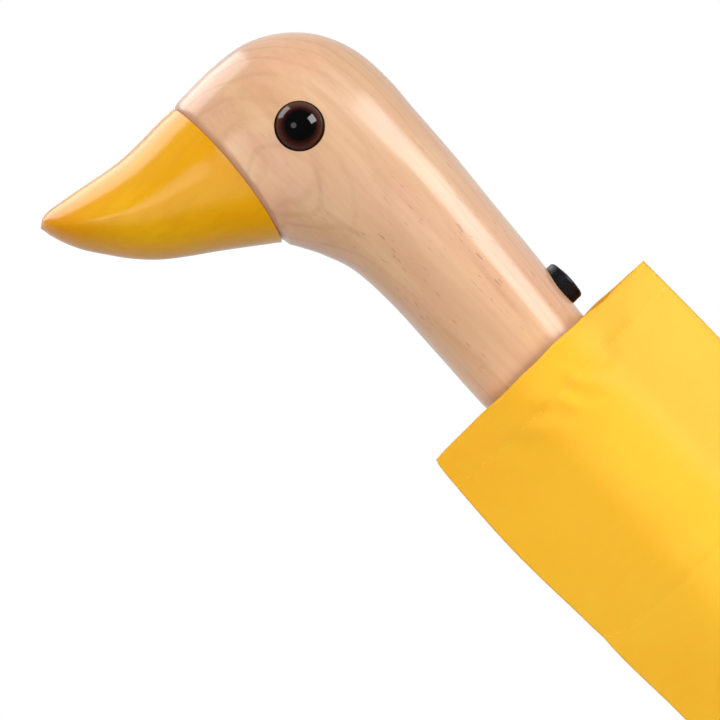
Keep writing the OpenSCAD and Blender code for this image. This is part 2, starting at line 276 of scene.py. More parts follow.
def maple():
    """Varnished maple: fine fibres and dark flecks along Z, and growth rings cut by the carving."""
    s = Shader("varnished maple", Coat_Weight=0.9, Coat_Roughness=0.17, Coat_IOR=1.62, Specular_IOR_Level=0.3)
    place = s.place()
    height = s.node("SeparateXYZ", {"Vector": place}).outputs["Z"]
    fibre = s.grain(place, (900, 900, 45), 4.0, 0.6)
    broad = s.grain(place, (70, 70, 14), 3.0, 0.5)
    rings = s.node("TexWave", {"Vector": s.stretched(place, (1, 1, 0.35), (0.12, 0.0, 0.3)), "Scale": 100.0,
                               "Distortion": 3.4, "Detail": 2.0, "Detail Scale": 0.8,
                               "Detail Roughness": 0.55},
                   wave_type="BANDS", bands_direction="Y").outputs["Fac"]
    tone = s.ramp(broad, [(0.3, linear(208, 160, 120)), (0.52, linear(223, 179, 138)),
                          (0.7, linear(232, 195, 157))])
    streak = s.grain(place, (330, 330, 16), 2.0, 0.5)
    tone = s.stain(tone, (210, 158, 122), streak, 0.48, 0.66, 0.4)
    blush = s.grain(place, (95, 95, 40), 2.0, 0.5)
    tone = s.stain(tone, (222, 170, 142), blush, 0.42, 0.66, 0.55)
    tone = s.stain(tone, (200, 150, 112), fibre, 0.35, 0.75, 0.30)
    clear = s.span(s.noise(place, 38.0, 2.0), 0.35, 0.62, 0.04, 0.17)
    tone = s.mix(s.math("MULTIPLY", s.span(rings, 0.80, 1.0), clear), tone, linear(166, 112, 82))
    cheek = s.node("VectorMath", {0: place, 1: CHEEK_SWIRL}, operation="SUBTRACT").outputs["Vector"]
    swirl = s.node("TexWave", {"Vector": s.stretched(cheek, (1, 0.2, 0.75)), "Scale": 50.0, "Distortion": 4.5,
                               "Detail": 2.0, "Detail Scale": 1.1, "Phase Offset": 2.0},
                   wave_type="RINGS", rings_direction="Y").outputs["Fac"]
    away = s.node("VectorMath", {0: s.stretched(cheek, (1, 0.2, 0.8))}, operation="LENGTH").outputs["Value"]
    swirl = s.math("MULTIPLY", s.span(swirl, 0.88, 1.0), s.span(away, 10 * MM, 19 * MM, 0.14, 0.0))
    swirl = s.math("MULTIPLY", swirl, s.span(away, 2 * MM, 6 * MM))
    tone = s.mix(swirl, tone, linear(160, 108, 80))
    fleck = s.grain(place, (1900, 1900, 330), 1.0, 0.4)
    where = s.grain(place, (120, 120, 40), 2.0)
    fleck = s.math("MULTIPLY", s.span(fleck, 0.66, 0.76), s.span(where, 0.42, 0.58))
    fleck = s.math("MULTIPLY", fleck, s.span(height, 0.028, 0.055, 0.5, 0.12))
    tone = s.mix(fleck, tone, linear(132, 82, 56))
    # darker brown in the seam's bevel: partly the joint's own darker wood, partly painted shade that deepens
    # into the groove
    seam_tint_and_shade = s.attribute("seam_tint_and_shade").outputs["Fac"]
    tone = s.mix(s.math("MULTIPLY", seam_tint_and_shade, 0.85), tone, linear(164, 102, 80))
    s.into("Base Color", tone)
    s.into("Roughness", s.span(fibre, 0.3, 0.8, 0.38, 0.5))
    s.bump(fibre, 0.12, 0.00005)
    return s.made


def yellow_lacquer():
    """Glossy yellow lacquer over wood: slightly uneven depth of colour, and a soft orange peel."""
    s = Shader("yellow lacquer", Coat_Weight=1.0, Coat_Roughness=0.19, Coat_IOR=1.62, Specular_IOR_Level=0.02)
    place = s.place()
    depth = s.grain(place, (28, 60, 40), 3.0, 0.5)
    tone = s.ramp(depth, [(0.3, linear(224, 152, 4)), (0.55, linear(230, 164, 8)),
                          (0.75, linear(236, 178, 18))])
    grain = s.grain(place, (60, 500, 500), 3.0, 0.6, (0, -0.4, 0))
    tone = s.stain(tone, (206, 134, 8), grain, 0.45, 0.8, 0.25)
    forward = s.node("SeparateXYZ", {"Vector": place}).outputs["X"]
    tone = s.stain(tone, (218, 136, 14), forward, -0.046, -0.064, 0.8)
    s.into("Base Color", tone)
    peel = s.noise(place, 420.0, 2.0)
    s.into("Roughness", s.span(peel, 0.2, 0.8, 0.3, 0.4))
    s.bump(peel, 0.05, 0.0001)
    return s.made


def eye_glass(centre):
    """Dark glass eye of 6 mm radius: black pupil, brown iris that lightens outward, black edge line."""
    s = Shader("eye glass", Roughness=0.10, Coat_Weight=1.0, Coat_Roughness=0.07, Coat_IOR=1.72,
               Specular_IOR_Level=0.0)
    split = s.node("SeparateXYZ", {"Vector": s.place()})
    x = s.math("SUBTRACT", split.outputs["X"], centre[0])
    z = s.math("SUBTRACT", split.outputs["Z"], centre[2])
    square = s.math("ADD", s.math("MULTIPLY", x, x), s.math("MULTIPLY", z, z))
    radius = s.math("DIVIDE", s.math("SQRT", square), 6 * MM)
    streaks = s.noise(s.place(), 900.0, 3.0)
    radius = s.math("ADD", radius, s.span(streaks, 0.3, 0.7, -0.03, 0.03))
    s.into("Base Color", s.ramp(radius, [(0.0, (0.001, 0.001, 0.001)), (0.58, (0.001, 0.001, 0.001)),
                                         (0.66, (0.022, 0.004, 0.003)), (0.80, (0.062, 0.012, 0.006)),
                                         (0.93, (0.030, 0.006, 0.002)), (0.97, (0.004, 0.001, 0.001))]))
    return s.made


def moulded_plastic(name, color, roughness):
    """Moulded plastic: fine grain in its roughness, and faint flow marks."""
    s = Shader(name, Roughness=roughness, Specular_IOR_Level=0.35)
    grain = s.noise(s.place(), 2600.0, 2.0)
    flow = s.grain(s.place(), (60, 60, 20), 3.0)
    s.into("Base Color", s.mix(s.span(flow, 0.3, 0.7, 0.0, 1.0), color, [c * 1.5 + 0.004 for c in color]))
    s.into("Roughness", s.span(grain, 0.3, 0.7, roughness - 0.06, roughness + 0.08))
    s.bump(grain, 0.05, 0.00003)
    return s.made


def plated_steel():
    """Bright plated tube, drawn along Z: fine lengthwise lines and faint handling marks."""
    s = Shader("plated steel", Metallic=1.0, Roughness=0.16)
    place = s.place()
    drawn = s.grain(place, (2600, 2600, 12), 3.0, 0.6)
    marks = s.noise(place, 45.0, 4.0, 0.65)
    s.into("Base Color", s.mix(s.span(marks, 0.35, 0.7), (0.88, 0.89, 0.90), (0.76, 0.77, 0.79)))
    rough = s.span(drawn, 0.3, 0.7, 0.26, 0.38)
    s.into("Roughness", s.math("ADD", rough, s.span(marks, 0.5, 0.8, 0.0, 0.1)))
    s.bump(drawn, 0.08, 0.00002)
    return s.made


def black_enamel():
    """Satin black enamel on pressed steel, with the metal just showing where it rubs."""
    s = Shader("black enamel", Roughness=0.36, Coat_Weight=0.3, Coat_Roughness=0.2)
    place = s.place()
    wear = s.noise(place, 260.0, 5.0, 0.7)
    worn = s.span(wear, 0.70, 0.78)
    s.into("Base Color", s.mix(worn, (0.012, 0.012, 0.013), (0.10, 0.10, 0.105)))
    s.into("Roughness", s.span(wear, 0.3, 0.8, 0.30, 0.46))
    s.bump(wear, 0.06, 0.00003)
    return s.made


def polyester(name, base, deep, thread_gap, sheen, glow):
    """Plain-woven polyester: crossing threads, a soft sheen, uneven dye, and some light through the cloth."""
    s = Shader(name, Sheen_Weight=sheen, Sheen_Roughness=0.35, Specular_IOR_Level=0.4,
               Subsurface_Weight=glow, Subsurface_Scale=0.8 * MM)
    s.surface.inputs["Sheen Tint"].default_value = (1.0, 0.93, 0.7, 1)
    flat = s.attribute("cloth").outputs["Vector"]
    bands = {"Vector": flat, "Scale": math.pi / (20 * thread_gap)}
    warp = s.node("TexWave", bands, wave_type="BANDS", bands_direction="X").outputs["Fac"]
    weft = s.node("TexWave", bands, wave_type="BANDS", bands_direction="Y").outputs["Fac"]
    weave = s.math("MULTIPLY", warp, weft)
    slub = s.grain(flat, (60, 900, 1), 3.0, 0.6)
    dye = s.noise(flat, 22.0, 3.0)
    tone = s.mix(s.span(dye, 0.35, 0.7), base, deep)
    tone = s.mix(s.span(weave, 0.0, 0.5, 0.14, 0.0), tone, [c * 0.72 for c in deep])
    tone = s.mix(s.span(slub, 0.5, 0.8, 0.0, 0.12), tone, [min(1.0, c * 1.18) for c in base])
    s.into("Base Color", tone)
    s.into("Roughness", s.span(weave, 0.0, 1.0, 0.58, 0.42))
    s.bump(s.math("ADD", weave, s.math("MULTIPLY", slub, 0.4)), 0.25, 0.00006)
    return s.made


def thread():
    """Twisted polyester sewing thread."""
    s = Shader("sewing thread", Roughness=0.6, Sheen_Weight=0.3)
    twist = s.node("TexWave", {"Vector": s.place(), "Scale": 700.0}, wave_type="BANDS",
                   bands_direction="DIAGONAL").outputs["Fac"]
    s.into("Base Color", s.mix(twist, linear(244, 184, 44), linear(252, 204, 72)))
    s.bump(twist, 0.4, 0.00005)
    return s.made


MAPLE = maple()
LACQUER = yellow_lacquer()
BLACK_PLASTIC = moulded_plastic("black plastic", (0.004, 0.004, 0.005), 0.26)
IRIS = moulded_plastic("iris backing", (0.04, 0.01, 0.006), 0.3)
STEEL = plated_steel()
ENAMEL = black_enamel()
SLEEVE_CLOTH = polyester("sleeve polyester", linear(251, 192, 50), linear(251, 184, 42),
                         thread_gap=0.32 * MM, sheen=0.3, glow=0.2)
CANOPY_CLOTH = polyester("canopy polyester", linear(250, 190, 42), linear(248, 182, 34),
                         thread_gap=0.28 * MM, sheen=0.3, glow=0.0)
THREAD = thread()


# ---- duck's head

# Cross-sections of the neck and head, each cut between a point on the front and one on the back:
# front x, front z, back x, back z, half width, roundness. Millimetres.
NECK_SECTIONS = [
    (-15.6, -26, 15.1, -26, 15.2, 2), (-16.4, -9, 15.9, -9, 15.8, 2), (-15.9, 8, 17.6, 8, 16.1, 2),
    (-15.5, 24, 18.9, 25, 16.4, 2), (-16.4, 36, 20.1, 40, 16.7, 2), (-19.1, 43.7, 20.8, 54.1, 17.0, 2),
    (-21.2, 47.8, 21.3, 64.1, 17.4, 2), (-22.6, 50.2, 20.3, 74.2, 17.7, 2.05),
    (-23.4, 51.5, 16.4, 83.2, 17.8, 2.1), (-23.8, 52.5, 9.8, 89.9, 17.7, 2.1),
    (-24.1, 52.8, 1.5, 93.9, 17.4, 2.1), (-24.3, 52.8, -9.0, 95.0, 17.0, 2.1),
    (-24.4, 52.7, -21.2, 94.6, 16.4, 2.1)]
BILL_SECTIONS = [
    (-24.4, 52.7, -21.2, 94.6, 16.2, 2.1), (-29.8, 57.0, -26.5, 94.3, 15.3, 2.0),
    (-36.5, 61.8, -32.4, 94.0, 14.2, 1.9), (-42.9, 66.1, -38.4, 94.0, 13.0, 1.8),
    (-48.5, 70.3, -43.8, 94.6, 12.0, 1.7), (-53.3, 75.2, -48.4, 95.4, 11.0, 1.65),
    (-57.1, 80.2, -52.6, 96.1, 9.9, 1.65), (-60.2, 84.7, -56.6, 96.7, 8.3, 1.7),
    (-62.3, 89.0, -59.9, 97.1, 6.2, 1.8), (-63.5, 92.6, -62.2, 96.8, 3.4, 2.0)]
BILL_TIP = (-64.0, 0, 95.4)
HEAD_AROUND = 128
HEAD_STEPS = 9
SEAM_BOW = 1.6       # how far the seam runs back along the cheeks
SEAM_REACH = 9.0     # how far from the seam that bow dies away
CHAMFER = 1.2        # the head's bevelled edge at the seam
BEVEL_DEPTH = 1.0    # how far in the bevel ends
BILL_STEP = 0.4      # how far the bill stands in from the wood at the seam
STEP_REACH = 3.5     # how far from the seam that step dies away
SOCKET_GAP = 0.08 * MM
EYE_RISE = 3.6 * MM  # how far an eye's dome stands above its rim
EYES = ((-1, "eye_left"), (1, "eye_right"))


def spline(values, steps):
    """A smooth curve through rows of values, with this many steps between rows."""
    rows = np.array(values, float)
    last = len(rows) - 1
    out = []
    for i in range(last):
        a, b, c, d = rows[max(i - 1, 0)], rows[i], rows[i + 1], rows[min(i + 2, last)]
        for k in range(steps):
            t = k / steps
            out.append(0.5 * (2 * b + (c - a) * t + (2 * a - 5 * b + 4 * c - d) * t * t
                              + (3 * b - a - 3 * c + d) * t ** 3))
    out.append(rows[last])
    return np.array(out)


def unit(v):
    """A vector's direction."""
    return np.array(v) / np.linalg.norm(v)


def hump(distance, width):
    """A bell: 1 where the distance is 0, and next to nothing two widths away."""
    return np.exp(-(distance / width) ** 2)


def section_middle(section):
    """The point halfway between a section's front and its back."""
    return np.array([(section[0] + section[2]) / 2, 0, (section[1] + section[3]) / 2])


def section_ring(section, shrink=0.0):
    """One superellipse ring in millimetres, drawn in by shrink all round."""
    x0, z0, x1, z1, half, power = section
    reach = np.array([(x1 - x0) / 2, 0, (z1 - z0) / 2])
    length = np.linalg.norm(reach)
    reach = reach * (length - shrink) / length
    a = np.linspace(0, 2 * np.pi, HEAD_AROUND, endpoint=False)
    along = np.sign(np.cos(a)) * np.abs(np.cos(a)) ** (2 / power)
    across = np.sign(np.sin(a)) * np.abs(np.sin(a)) ** (2 / power)
    return section_middle(section) + np.outer(along, reach) + np.outer(across, (0, half - shrink, 0))


def seam_distance(point):
    """How far a point lies from the seam's middle."""
    return np.linalg.norm(point - section_middle(NECK_SECTIONS[-1]))


def bowed(ring):
    """Carries the seam back along the cheeks, and rings further from it less."""
    fade = hump(seam_distance(ring.mean(axis=0)), SEAM_REACH)
    cheek = np.minimum(1, np.abs(ring[:, 1]) / NECK_SECTIONS[-1][4]) ** 2
    return ring + np.outer(SEAM_BOW * fade * cheek, (1, 0, 0))


def bevelled(section):
    """A wood ring and its seam tint, partly the joint's own darker wood and partly painted shade that deepens
    into the bevel: it draws in where it comes close to the seam's plane.
    """
    x0, z0, x1, z1 = NECK_SECTIONS[-1][:4]
    back = unit([z1 - z0, 0, x0 - x1])
    ring, inner = section_ring(section), section_ring(section, BEVEL_DEPTH)
    distance = (ring - np.array([x0, 0, z0])) @ back
    share = np.clip(1 - distance / CHAMFER, 0, 1) ** 1.2
    # painted shade deepening into the bevel, over a band of the joint's own darker wood
    seam_tint_and_shade = 0.5 * np.clip(share / 0.12, 0, 1) + 0.6 * np.clip((share - 0.8) / 0.2, 0, 1)
    return ring + (inner - ring) * share[:, None], seam_tint_and_shade


def eye_place(side, node):
    """An eye's centre, its radius, and how far out its foot and its top are."""
    low, high = corners(node)
    foot, top = (low.y, high.y) if side > 0 else (-high.y, -low.y)
    return (low + high) / 2, (high.x - low.x) / 2, foot, top


def carve_head():
    """Neck and head in one: lofted rings, a bevel at the bill, the button's bore and the eyes' sockets."""
    sections = spline(NECK_SECTIONS, HEAD_STEPS)
    fine = [sections[-2] + (sections[-1] - sections[-2]) * k / 8 for k in range(1, 8)]
    rings = [section_ring(sections[0], 1.0), section_ring(sections[0], 0.3) + (0, 0, 0.1)]
    seam_tints_and_shades = [np.zeros(HEAD_AROUND), np.zeros(HEAD_AROUND)]
    for section in [*sections[1:-1], *fine, sections[-1]]:
        ring, seam_tint_and_shade = bevelled(section)
        rings.append(ring)
        seam_tints_and_shades.append(seam_tint_and_shade)
    rings = [bowed(ring) for ring in rings]
    head = make_mesh("duck_head", np.concatenate(rings) * MM, capped_faces(len(rings), HEAD_AROUND), MAPLE,
                     None)
    # the seam's tint: the joint's own darker wood and painted shade in its bevel
    mark(head, "seam_tint_and_shade", np.concatenate(seam_tints_and_shades))
    low, high = corners("button_guide")
    height = (low.z + high.z) / 2
    bore(head, (high.z - low.z) / 2, (low.x, 0, height), (high.x + 20 * MM, 0, height))
    for side, node in EYES:
        centre, radius, foot, _ = eye_place(side, node)
        bore(head, radius + SOCKET_GAP, (centre.x, side * foot, centre.z),
             (centre.x, side * (foot + 20 * MM), centre.z))
    sharpen(head, 38)
    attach(head, "handle")
    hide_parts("head")


def carve_bill():
    """The bill: lofted rings that step in at the seam and close in a rounded tip."""
    sections = spline(BILL_SECTIONS, HEAD_STEPS)
    rings = [section_ring(sections[0], BILL_STEP + 0.5)]
    for section in sections:
        step = BILL_STEP * hump(seam_distance(section_middle(section)), STEP_REACH)
        rings.append(section_ring(section, step))
    rings[1] = rings[1] + (rings[2] - rings[1]) * 0.2      # just clear of the wood's face
    rings = [bowed(ring) for ring in rings]
    tip, end = np.array(BILL_TIP, float), rings[-1]
    for t in (0.35, 0.65, 0.85, 0.96):
        rings.append(tip + (end - tip) * math.sqrt(1 - t * t))
    points = np.concatenate(rings + [tip[None]]) * MM
    faces = ring_faces(len(rings), HEAD_AROUND)
    last = (len(rings) - 1) * HEAD_AROUND
    faces.append(tuple(range(HEAD_AROUND))[::-1])
    faces += [(last + k, last + (k + 1) % HEAD_AROUND, last + HEAD_AROUND) for k in range(HEAD_AROUND)]
    bill = make_mesh("duck_bill", points, faces, LACQUER, "handle")
    sharpen(bill, 50)
    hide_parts("bill")


def set_eyes():
    """Two domed glass eyes, each a cap of a ball on a short rim that beds into the wood."""
    for side, node in EYES:
        centre, radius, foot, top = eye_place(side, node)
        ball = (radius ** 2 + EYE_RISE ** 2) / (2 * EYE_RISE)
        widest = math.asin(radius / ball)
        profile = [(radius * 0.96, foot), (radius, foot + 0.4 * MM), (radius, top - EYE_RISE - 0.1 * MM)]
        for k in range(20):
            a = widest * (1 - k / 20)
            profile.append((ball * math.sin(a), top - ball * (1 - math.cos(a))))
        eye = lathe(f"{node}_dome", profile, (centre.x, 0, centre.z), (0, side, 0), eye_glass(centre),
                    "handle", 96)
        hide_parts(node)


def fit_button():
    """The push button: a turned cap with a low dome and a softened rim, on its stem."""
    low, high = corners("button")
    radius = (high.z - low.z) / 2
    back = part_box("button_guide")[1][0] + joints["button_press"]["range_m"][1] + 0.4 * MM
    dome, rim = 0.5 * MM, 0.9 * MM
    shoulder = high.x - dome - rim
    profile = [(2 * MM, low.x), (2 * MM, back), (radius - 0.2 * MM, back), (radius, back + 0.2 * MM),
               (radius - 0.05 * MM, shoulder)]
    for k in range(1, 9):
        a = math.radians(90 * k / 8)
        profile.append((radius - rim * (1 - math.cos(a)), shoulder + rim * math.sin(a)))
    for share in (0.6, 0.4, 0.2, 0.06):
        profile.append(((radius - rim) * share, high.x - dome * share ** 2))
    cap = lathe("push_button", profile, (0, 0, (low.z + high.z) / 2), (1, 0, 0), BLACK_PLASTIC, "button")
    sharpen(cap, 40)
    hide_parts("button")


# ---- sleeve

SLEEVE_AROUND = 360
SLEEVE_UP = 200
CLOTH_T = 0.45 * MM
SLEEVE_GIRTH = 84.6 * MM     # half of the way round the sleeve, the same at every height
HEM_DROP = 8.4 * MM          # hem stitching below the mouth
SEAM_DROP = 60.6 * MM        # the cross seam below the mouth
STITCH_PITCH = 3.1 * MM
STITCH = 1.9 * MM
THREAD_RADIUS = 0.11 * MM


def side_folds(z, mouth):
    """The sleeve's two side folds: it is widest a little below the mouth, where the bundle is thinner."""
    down = mouth - z
    seam_pull = 0.18 * MM * hump(down - SEAM_DROP + 2 * MM, 2.2 * MM)
    slack = 0.5 * MM * hump(down - 68 * MM, 11 * MM)
    corner = 0.5 * MM * np.exp(-down / (1.5 * MM))
    left = -33.5 * MM - 1.95 * MM * hump(down - 28 * MM, 29 * MM) + seam_pull + corner - slack
    right = 34.7 * MM + 1.35 * MM * hump(down - 24 * MM, 42 * MM) - seam_pull * 0.6
    return left, right


def bundle_radius(half):
    """The radius at which two arcs and four straight flanks use up the sleeve's girth."""
    low, high = np.full_like(half, 12 * MM), half * 0.98
    for _ in range(30):
        radius = (low + high) / 2
        girth = 2 * np.sqrt(half ** 2 - radius ** 2) + radius * (np.pi - 2 * np.arccos(radius / half))
        low = np.where(girth > SLEEVE_GIRTH, low, radius)
        high = np.where(girth > SLEEVE_GIRTH, radius, high)
    return (low + high) / 2


def pouch_point(s, half):
    """A point and its outward direction round the sleeve: s runs 0 to 1 along the front and 1 to 2 back."""
    radius = bundle_radius(half)
    turn = np.arccos(radius / half)
    flank = np.sqrt(half ** 2 - radius ** 2)
    arc = radius * (np.pi - 2 * turn)
    front = s < 1
    along = np.where(front, s, 2 - s) * (2 * flank + arc)
    a = turn + np.clip(along - flank, 0, arc) / radius
    past = np.clip(flank - along, 0, None) - np.clip(along - flank - arc, 0, None)
    x = -radius * np.cos(a) - past * np.sin(a)
    y = radius * np.sin(a) - np.abs(past) * np.abs(np.cos(a))
    return x, np.where(front, -y, y), -np.cos(a), np.where(front, -np.sin(a), np.sin(a))


def seam_height(x, top):
    """Height of the cross seam, which climbs a little into the side fold."""
    return top - SEAM_DROP + 2 * MM * np.exp(-(x + 34.5 * MM) / (2.5 * MM))


# lengthwise creases: place across (-1 to 1), lean, width in mm, depth in mm
CREASES = [(-0.62, 0.10, 6.0, 0.40), (-0.30, -0.12, 7.5, 0.40), (0.02, 0.16, 7.5, -0.40),
           (0.34, -0.10, 7.0, 0.42), (0.66, 0.08, 5.5, -0.35), (-0.86, 0.03, 4.5, 0.25)]


def lengthwise_creases(across, z, top, half, back):
    """Soft creases that wander a little and fade in and out down the sleeve."""
    total = np.zeros_like(across)
    for k, (place, lean, wide, deep) in enumerate(CREASES):
        wander = place + lean * (top - z) / 0.2 + 0.03 * np.sin(z / 0.023 + 2.1 * k + 3 * back)
        fade = 0.35 + 0.65 * np.sin((top - z) / 0.07 + 1.3 * k + 2 * back) ** 2
        total += deep * MM * fade * hump((across - wander) * half, wide * MM)
    return total


def puckers(x, off_seam, period, swell, depth):
    """Small puckers that a row of stitches draws up, dying away on both sides of it."""
    ripple = np.sin(x / (period * MM) + swell[0] * np.sin(x / (swell[1] * MM)))
    return depth * MM * ripple * np.exp(-np.abs(off_seam) / (2.4 * MM))


def seam_relief(x, z, top):
    """Height of the cloth's surface at the hem and at the cross seam."""
    below_hem, below_seam = z - (top - HEM_DROP), z - seam_height(x, top)
    tucks = 0.34 * MM * np.sin((x + 0.7 * below_hem) / (1.5 * MM) + 1.5 * np.sin(x / (6 * MM)))
    tucks *= hump(below_hem + 2 * MM, 4.5 * MM) * hump(x + 6 * MM, 20 * MM)
    dimples = 0.5 * MM * np.sin(x / (4.3 * MM) + 2.0 * np.sin(z / (6 * MM))) * hump(below_hem + MM, 5 * MM)
    lines = -0.26 * MM * hump(below_hem, 0.8 * MM) - 0.32 * MM * hump(below_seam, 0.7 * MM)
    doubled_hem = 0.12 * MM * np.clip(below_hem / (1.2 * MM), 0, 1)
    return (puckers(x, below_hem, 0.9, (1.7, 5.1), 0.13) + puckers(x, below_seam, 1.2, (2.1, 7), 0.10)
            + tucks + dimples + lines + doubled_hem)


def sleeve_surface(s, z, inset=0.0):
    """The sleeve's skin: closed like a pillow below, with puckers at its seams and soft creases."""
    low, high = corners("sleeve")
    left, right = side_folds(z, high.z)
    half = (right - left) / 2
    x, y, nx, ny = pouch_point(s, half)
    below = np.clip((z - low.z) / (20 * MM), 0, 1)
    round_end = np.sqrt(np.clip(1 - (1 - below) ** 2.6, 0.004, 1))
    across = x / half
    back = np.where(s < 1, 0.0, 1.0)
    relief = seam_relief(x, z, high.z) + lengthwise_creases(across, z, high.z, half, back)
    rise = relief * np.clip(1 - across ** 2, 0, 1) - inset
    rise = rise * np.clip(below * 3, 0.1, 1)
    return (left + right) / 2 + x + nx * rise, (y + ny * rise) * round_end


def mouth_edge(s, half):
    """How far the mouth's edge stands above its corners: the front lip higher, the back lip lower."""
    x = pouch_point(s, np.full_like(s, half))[0] / half
    bow = np.clip(1 - x ** 2, 0, 1) ** 0.7
    ripple = 0.12 * MM * np.sin(7 * x + 1) + 0.1 * MM * np.sin(19 * x)
    past_neck = 1 / (1 + np.exp(-(x - 0.46) * 16))
    front = (1.1 * MM - 0.85 * MM * past_neck + ripple) * bow
    back = (-0.75 * MM + 1.0 * MM * past_neck - ripple) * bow
    return np.where(s < 1, front, back)


def sewn_shut(first):
    """Joins a ring's front half to its back half."""
    faces = []
    half = SLEEVE_AROUND // 2
    for k in range(half):
        a, b = first + k, first + k + 1
        c = first + (SLEEVE_AROUND - k - 1) % SLEEVE_AROUND
        d = first + (SLEEVE_AROUND - k) % SLEEVE_AROUND
        corners = (a, b, c) if k == 0 else (a, b, d) if k == half - 1 else (a, b, c, d)
        faces.append(corners)
    return faces


def sew_sleeve():
    """The sleeve: an outer skin and an inner one, joined at the mouth and closed below."""
    low, high = corners("sleeve")
    s = np.linspace(0, 2, SLEEVE_AROUND, endpoint=False)
    heights = low.z + (high.z - low.z) * np.linspace(0, 1, SLEEVE_UP) ** 0.9
    edge = mouth_edge(s, 35 * MM)
    points, flat = [], []
    for layer, inset in ((0, 0.0), (1, CLOTH_T)):
        for height in heights if layer == 0 else heights[::-1]:
            top_share = np.clip((height - high.z + 12 * MM) / (12 * MM), 0, 1)
            z = np.full_like(s, height) + edge * top_share
            if layer == 1:
                z = z + np.clip((low.z + 1.5 * MM - z) / (1.5 * MM), 0, 1) * 0.9 * MM
            x, y = sleeve_surface(s, z, inset)
            points.append(np.stack([x, y, z], axis=1))
            flat.append(np.stack([s * SLEEVE_GIRTH, z, np.zeros_like(s)], axis=1))
    rings = len(points)
    faces = ring_faces(rings, SLEEVE_AROUND) + sewn_shut(0) + sewn_shut((rings - 1) * SLEEVE_AROUND)
    sleeve = make_mesh("sleeve_cloth", np.concatenate(points), faces, SLEEVE_CLOTH, "sleeve")
    mark(sleeve, "cloth", np.concatenate(flat))
    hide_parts("sleeve")
    return sleeve


def add_stitch(points, faces, start, end, sides=8):
    """Adds one stitch: a rounded thread lying from start to end."""
    start, end = Vector(start), Vector(end)
    axis = (end - start).normalized()
    turn = axis.to_track_quat("Z", "Y").to_matrix()
    first = len(points)
    length = (end - start).length
    stations = [(0.0, 0.25, -0.6), (0.08, 0.8, -0.2), (0.25, 1.0, 0.15), (0.5, 1.0, 0.3),
                (0.75, 1.0, 0.15), (0.92, 0.8, -0.2), (1.0, 0.25, -0.6)]
    out = Vector((0, math.copysign(1, start.y + end.y), 0))
    for along, wide, lift in stations:
        for k in range(sides):
            a = 2 * math.pi * k / sides
            local = THREAD_RADIUS * wide * Vector((math.cos(a), math.sin(a), 0))
            points.append(start + axis * length * along + turn @ local + out * lift * THREAD_RADIUS)
    faces += capped_faces(len(stations), sides, first)


def stitch_rows():
    """Hem stitches and the cross seam's stitches, each a real thread that beds into the cloth."""
    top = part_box("sleeve")[1][2]
    points, faces = [], []
    count = int(2 * SLEEVE_GIRTH / STITCH_PITCH)
    for drop in (HEM_DROP, SEAM_DROP):
        for k in range(count):
            ends = []
            for shift in (0.0, STITCH / STITCH_PITCH):
                s = np.array([2 * (k + shift) / count % 2])
                z = np.full_like(s, top - drop)
                if drop == SEAM_DROP:
                    z = seam_height(sleeve_surface(s, z)[0], top)
                x, y = sleeve_surface(s, z)
                ends.append((x[0], y[0], z[0]))
            if ends[0][1] * ends[1][1] > 0:
                add_stitch(points, faces, *ends)
    return make_mesh("sleeve_stitches", points, faces, THREAD, "sleeve")


# ---- wrapped canopy

FLAP_TURN = math.radians(379)
FLAP_POINTS = 40
WRAP_TWIST = math.radians(38)
WRAP_UP = 46
WRAP_INSIDE = 15.9 * MM      # where the flaps leave the ribs
STRAP_TURN = math.radians(382)


def flap_course(k, up):
    """Flap k at one height, out and back again: its turn, and each point's angle and reach (0 to 1)."""
    start = math.radians(60 * k) + WRAP_TWIST * up
    flap = FLAP_TURN * (0.97 + 0.03 * math.sin(7 * up + 2 * k))
    steps = [j / FLAP_POINTS for j in range(FLAP_POINTS)]
    there = [(start + flap * t, t) for t in steps]
    back = [(start + flap - (flap - math.radians(60)) * t, (1 - t) * 0.93) for t in steps]
    return flap, there + back


def wrap_canopy():
    """The closed canopy: six doubled flaps of cloth, all wound the same way round the ribs."""
    low, high = corners("canopy")
    outer = high.x - 0.4 * MM
    low_limit, high_limit = low.z + 0.2 * MM, high.z - 0.2 * MM
    points, flat = [], []
    for z in np.linspace(low.z + 0.4 * MM, high.z - 0.4 * MM, WRAP_UP):
        up = (z - low.z) / (high.z - low.z)
        end = np.clip((high.z - z) / (26 * MM), 0, 1)
        foot = np.clip((z - low.z) / (18 * MM), 0, 1)
        gather = 0.66 + 0.34 * math.sin(foot * math.pi / 2)
        along = 0.0
        for k in range(6):
            flap, course = flap_course(k, up)
            for a, share in course:
                soft = 0.18 * MM * math.sin(3 * a + 9 * up + k) * share
                reach = (outer - 0.5 * MM - WRAP_INSIDE) * share * (0.90 + 0.10 * end)
                r = (WRAP_INSIDE + reach + soft) * gather
                height = z + 1.2 * MM * math.sin(5 * a + k) * share * (1 - end)
                points.append((r * math.cos(a), r * math.sin(a), min(max(height, low_limit), high_limit)))
                along += flap * 18 * MM / FLAP_POINTS
                flat.append((along, z, 0))
    wrap = make_mesh("wrapped_canopy", points, ring_faces(WRAP_UP, 6 * 2 * FLAP_POINTS), CANOPY_CLOTH,
                     "crown_group", closed=False)
    mark(wrap, "cloth", flat)
    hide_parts("canopy")
    return wrap


